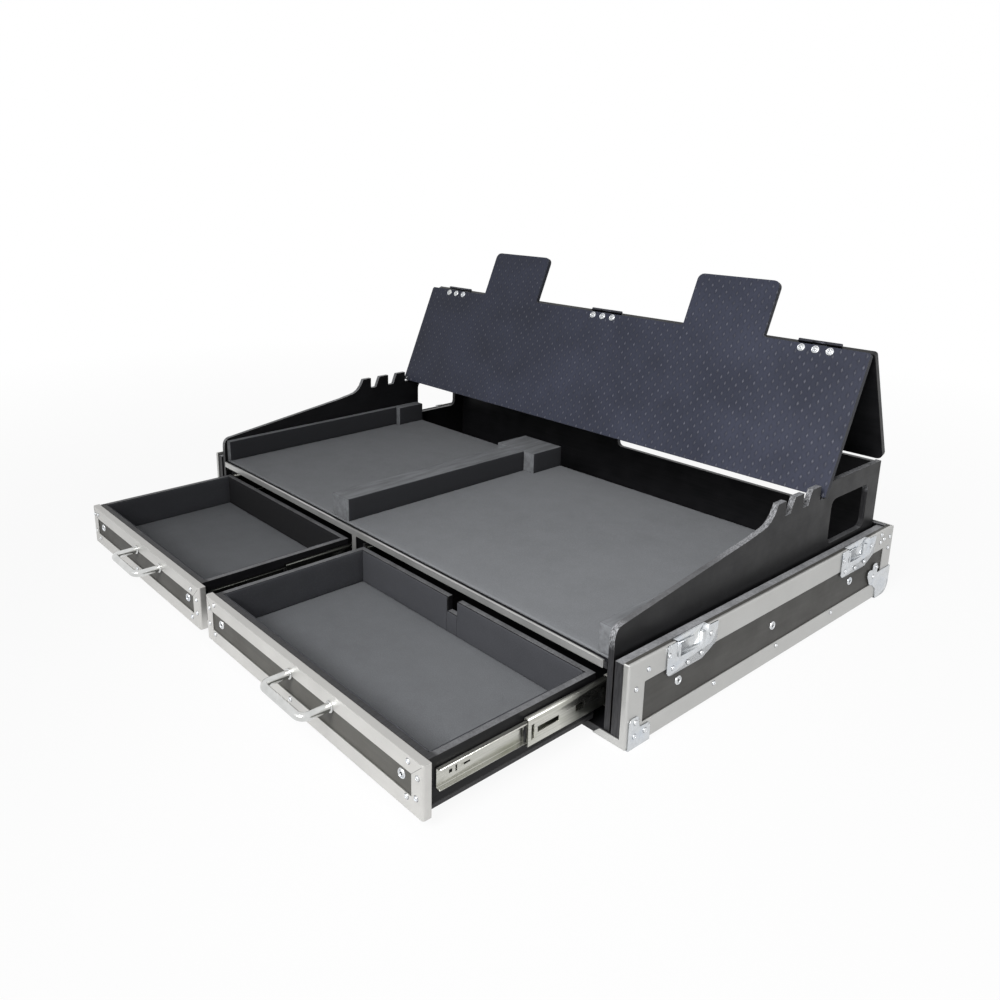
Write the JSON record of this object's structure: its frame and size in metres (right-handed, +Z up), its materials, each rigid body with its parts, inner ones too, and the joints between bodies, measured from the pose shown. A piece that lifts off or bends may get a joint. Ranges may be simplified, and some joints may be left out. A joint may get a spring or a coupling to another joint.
{
  "type": "road case with drawers",
  "caption": "Low road case tray with side-by-side drawers on ball-bearing slides, a foam-lined deck, notched side boards and a folding hinged stand.",
  "frame": {"origin": "middle of the footprint with the drawers pulled out, on the ground", "axes": "+X to the right of someone facing the drawers, +Y from the drawers to the back, +Z up"},
  "size_m": [1.13, 1.0744, 0.5341],
  "materials": {
    "edging": "satin mill finish edging",
    "zinc_steel": "bright zinc plate",
    "slide_steel": "bright zinc plate with a warm tinge",
    "handle_steel": "polished bright bar",
    "tray_laminate": "dark grey laminate on plywood, fine grain texture",
    "drawer_laminate": "grey-brown laminate on plywood, matt",
    "black_ply": "black stained plywood with a low sheen",
    "stand_ply": "blue-black anti-slip plywood with a dimpled face",
    "deck_foam": "matt grey closed-cell foam sheet",
    "dark_foam": "matt dark grey closed-cell foam"
  },
  "bodies": {
    "case": {"floor_board": "black_ply", "back_wall": "black_ply", "cabinet_back": "black_ply", "deck_board": "black_ply", "drawer_divider": "black_ply", "back_rail_top": "edging", "back_rail_bottom": "edging", "front_edging": "edging", "foam_bar_centre": "dark_foam", "deck_foam": "deck_foam", "side_wall_left": "tray_laminate", "side_liner_left": "black_ply", "cabinet_side_left": "black_ply", "side_frame_left": "edging", "corner_brace_left": "zinc_steel", "ball_corner_left": "zinc_steel", "latch_strike_front_left": "zinc_steel", "latch_strike_rear_left": "zinc_steel", "foam_bar_left": "dark_foam", "slide_outer_left_inside": "slide_steel", "slide_outer_left_outside": "slide_steel", "side_wall_right": "tray_laminate", "side_liner_right": "black_ply", "cabinet_side_right": "black_ply", "side_frame_right": "edging", "corner_brace_right": "zinc_steel", "ball_corner_right": "zinc_steel", "latch_strike_front_right": "zinc_steel", "latch_strike_rear_right": "zinc_steel", "foam_bar_right": "dark_foam", "slide_outer_right_inside": "slide_steel", "slide_outer_right_outside": "slide_steel"},
    "drawer_left": {"drawer_box_left": "black_ply", "drawer_bottom_left": "black_ply", "drawer_frame_left": "edging", "drawer_lining_left": "dark_foam", "drawer_panel_left": "drawer_laminate", "drawer_handle_left": "handle_steel", "slide_inner_left_inside": "slide_steel", "slide_inner_left_outside": "slide_steel"},
    "drawer_right": {"drawer_box_right": "black_ply", "drawer_bottom_right": "black_ply", "drawer_frame_right": "edging", "drawer_lining_right": "dark_foam", "drawer_panel_right": "drawer_laminate", "drawer_handle_right": "handle_steel", "slide_inner_right_inside": "slide_steel", "slide_inner_right_outside": "slide_steel"},
    "runners_left": {"slide_middle_left_inside": "slide_steel", "slide_middle_left_outside": "slide_steel"},
    "runners_right": {"slide_middle_right_inside": "slide_steel", "slide_middle_right_outside": "slide_steel"},
    "stand": {"stand_front": "stand_ply", "hinge_front_left": "zinc_steel", "hinge_front_middle": "zinc_steel", "hinge_front_right": "zinc_steel"},
    "stand_rear_leaf": {"stand_rear": "black_ply", "hinge_rear_left": "zinc_steel", "hinge_rear_middle": "zinc_steel", "hinge_rear_right": "zinc_steel"}
  },
  "joints": [
    {"name": "drawer_left_slide", "type": "slide", "parent": "case", "child": "drawer_left", "axis": [0, 1, 0], "range_m": [0, 0.2935]},
    {"name": "drawer_right_slide", "type": "slide", "parent": "case", "child": "drawer_right", "axis": [0, 1, 0], "range_m": [0, 0.2935]},
    {"name": "runners_left_slide", "type": "slide", "parent": "case", "child": "runners_left", "axis": [0, 1, 0], "range_m": [0, 0.14675]},
    {"name": "runners_right_slide", "type": "slide", "parent": "case", "child": "runners_right", "axis": [0, 1, 0], "range_m": [0, 0.14675]},
    {"name": "stand_lift", "type": "slide", "parent": "case", "child": "stand", "axis": [0, 0, 1], "range_m": [0, 0.3]},
    {"name": "stand_hinge", "type": "hinge", "parent": "stand", "child": "stand_rear_leaf", "pos_m": [0, 0.4201, 0.44281], "axis": [1, 0, 0], "range_deg": [0, 75]}
  ],
  "couplings": [
    {"joint": "runners_left_slide", "follows": "drawer_left_slide", "ratio": 0.5},
    {"joint": "runners_right_slide", "follows": "drawer_right_slide", "ratio": 0.5}
  ]
}
